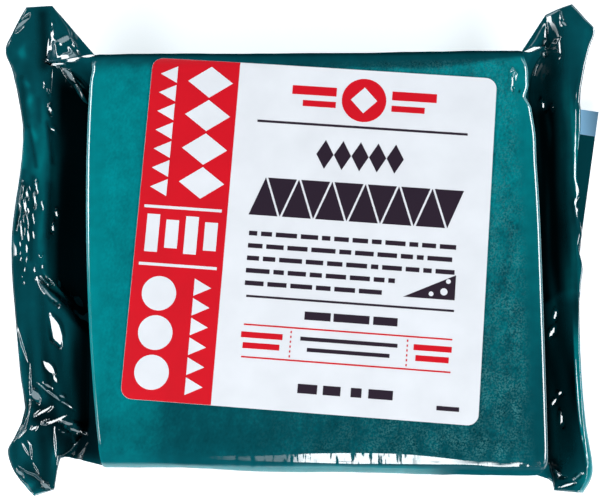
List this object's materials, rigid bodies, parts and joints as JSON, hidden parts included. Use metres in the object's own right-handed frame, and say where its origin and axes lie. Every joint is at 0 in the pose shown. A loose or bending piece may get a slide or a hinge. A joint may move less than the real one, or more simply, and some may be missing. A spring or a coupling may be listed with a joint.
{
  "type": "vacuum-packed cheddar block",
  "caption": "Flat block of cheddar shut in opaque teal film, with crumpled sealed fins at both ends and a square paper label on its face.",
  "frame": {"origin": "middle of the pack's overall box, on the flat back it lies on", "axes": "+X across the label from the wide left fin to the narrow right fin, +Y up the label, +Z out of the labelled face"},
  "size_m": [0.1336, 0.1076, 0.0226],
  "materials": {
    "film": "glossy opaque teal barrier film, drawn tight over the block and creased at both ends",
    "label": "smooth white paper sticker with a red band and dark print shapes"
  },
  "bodies": {
    "root": {"film_pack": "film", "front_label": "label"}
  },
  "joints": []
}
